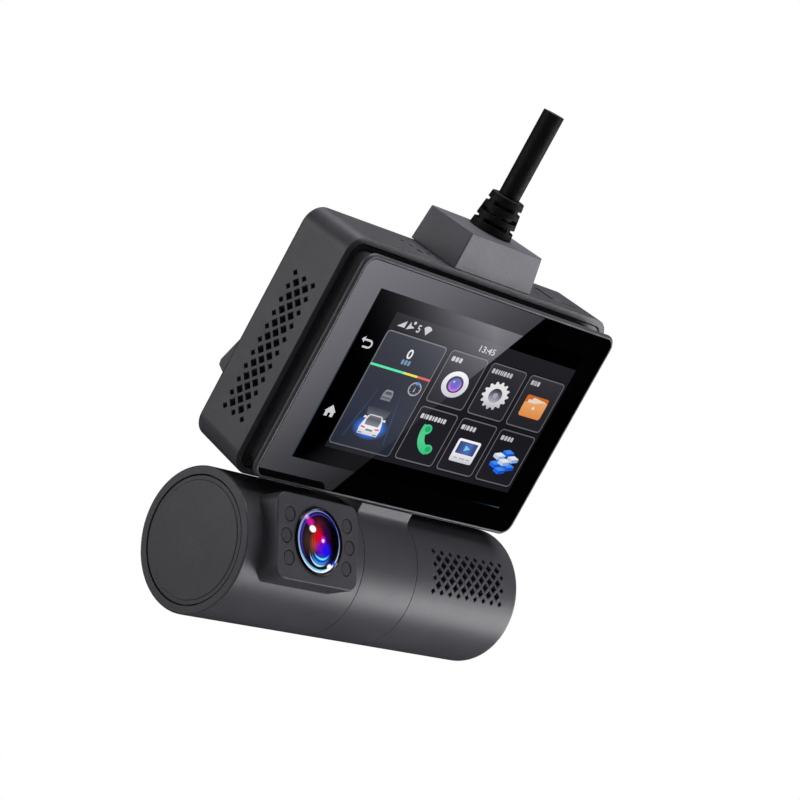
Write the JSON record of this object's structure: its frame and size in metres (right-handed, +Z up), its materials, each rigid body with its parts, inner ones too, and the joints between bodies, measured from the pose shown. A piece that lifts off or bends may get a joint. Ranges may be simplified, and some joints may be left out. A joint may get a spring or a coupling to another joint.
{
  "type": "dash camera",
  "caption": "Dash camera with a touch-screen head hung from a windscreen mount, and a pitching barrel with a cabin lens, infrared lamps and speaker grille below.",
  "frame": {"origin": "centre of the outer face of the adhesive pad that sticks to the windscreen", "axes": "+Z up with the head upright, +Y forward to the windscreen, +X to the right as the driver sees the screen"},
  "size_m": [0.0967, 0.0416, 0.1339],
  "materials": {
    "shell_plastic": "fine matte texture",
    "mount_plastic": "fine matte texture",
    "bezel_plastic": "satin",
    "rim_metal": "satin silver",
    "screen_glass": "polished",
    "display": "gloss",
    "sheet_metal": "brushed",
    "black_plastic": "satin",
    "board": "solder mask",
    "chip": "matte",
    "aluminium": "satin",
    "ceramic_patch": "satin",
    "steel": "satin",
    "gold": "polished",
    "card_black": "matte",
    "lens_glass": "coated",
    "lens_ring": "polished",
    "led_window": "satin",
    "mesh_cloth": "woven",
    "paper_cone": "matte",
    "rubber": "matte",
    "foam_tape": "matte",
    "copper": "satin",
    "ribbon": "satin"
  },
  "bodies": {
    "mount": {"mount_block": "mount_plastic", "mount_rail": "black_plastic", "contact_pins": "gold", "block_screws": "steel", "mount_board": "board", "adhesive_pad": "foam_tape", "strain_relief": "rubber", "power_cable": "rubber", "cable_cores": "copper"},
    "head": {"screen_rim": "rim_metal", "cover_glass": "screen_glass", "display_panel": "display", "backlight_tray": "sheet_metal", "front_bezel": "bezel_plastic", "screen_bracket": "sheet_metal", "rear_shell": "shell_plastic", "shell_screws": "steel", "main_board": "board", "board_screws": "steel", "processor": "chip", "heat_sink": "aluminium", "supercapacitors": "aluminium", "gps_antenna": "ceramic_patch", "microphone": "black_plastic", "side_vent_mesh": "mesh_cloth", "card_socket": "steel", "tactile_switch": "black_plastic", "road_camera_housing": "shell_plastic", "road_lens_barrel": "black_plastic", "road_lens": "lens_glass", "road_sensor_board": "board", "saddle": "shell_plastic", "neck_screws": "steel", "neck_harness": "rubber", "bearing_bushes": "black_plastic", "friction_ring": "rubber", "rail_channel": "black_plastic", "contact_tracks": "gold"},
    "barrel": {"camera_barrel": "shell_plastic", "end_disc": "shell_plastic", "tie_shaft": "steel", "shaft_screws": "steel", "shaft_lock_ring": "steel", "camera_faceplate": "shell_plastic", "ir_leds": "led_window", "ir_board": "board", "lens_ring": "lens_ring", "lens_dome": "lens_glass", "lens_housing": "black_plastic", "inner_lenses": "lens_glass", "cabin_sensor_board": "board", "camera_ribbon": "ribbon", "speaker_barrel": "shell_plastic", "speaker_mesh": "mesh_cloth", "speaker_frame": "black_plastic", "speaker_cone": "paper_cone", "speaker_magnet": "steel"},
    "power_button": {"power_button": "shell_plastic", "switch_plunger": "black_plastic"},
    "memory_card": {"memory_card": "card_black"}
  },
  "joints": [
    {"name": "head_slide", "type": "slide", "parent": "mount", "child": "head", "axis": [0, -1, 0], "range_m": [0, 0.013]},
    {"name": "barrel_tilt", "type": "hinge", "parent": "head", "child": "barrel", "pos_m": [0, -0.01715, -0.08189], "axis": [1, 0, 0], "range_deg": [-7, 83]},
    {"name": "power_button_press", "type": "slide", "parent": "head", "child": "power_button", "axis": [0, 0, -1], "range_m": [0, 0.0004], "stiffness_N_per_m": 800, "springref_m": -0.0006},
    {"name": "memory_card_slide", "type": "slide", "parent": "head", "child": "memory_card", "axis": [1, 0, 0], "range_m": [0, 0.012]}
  ]
}
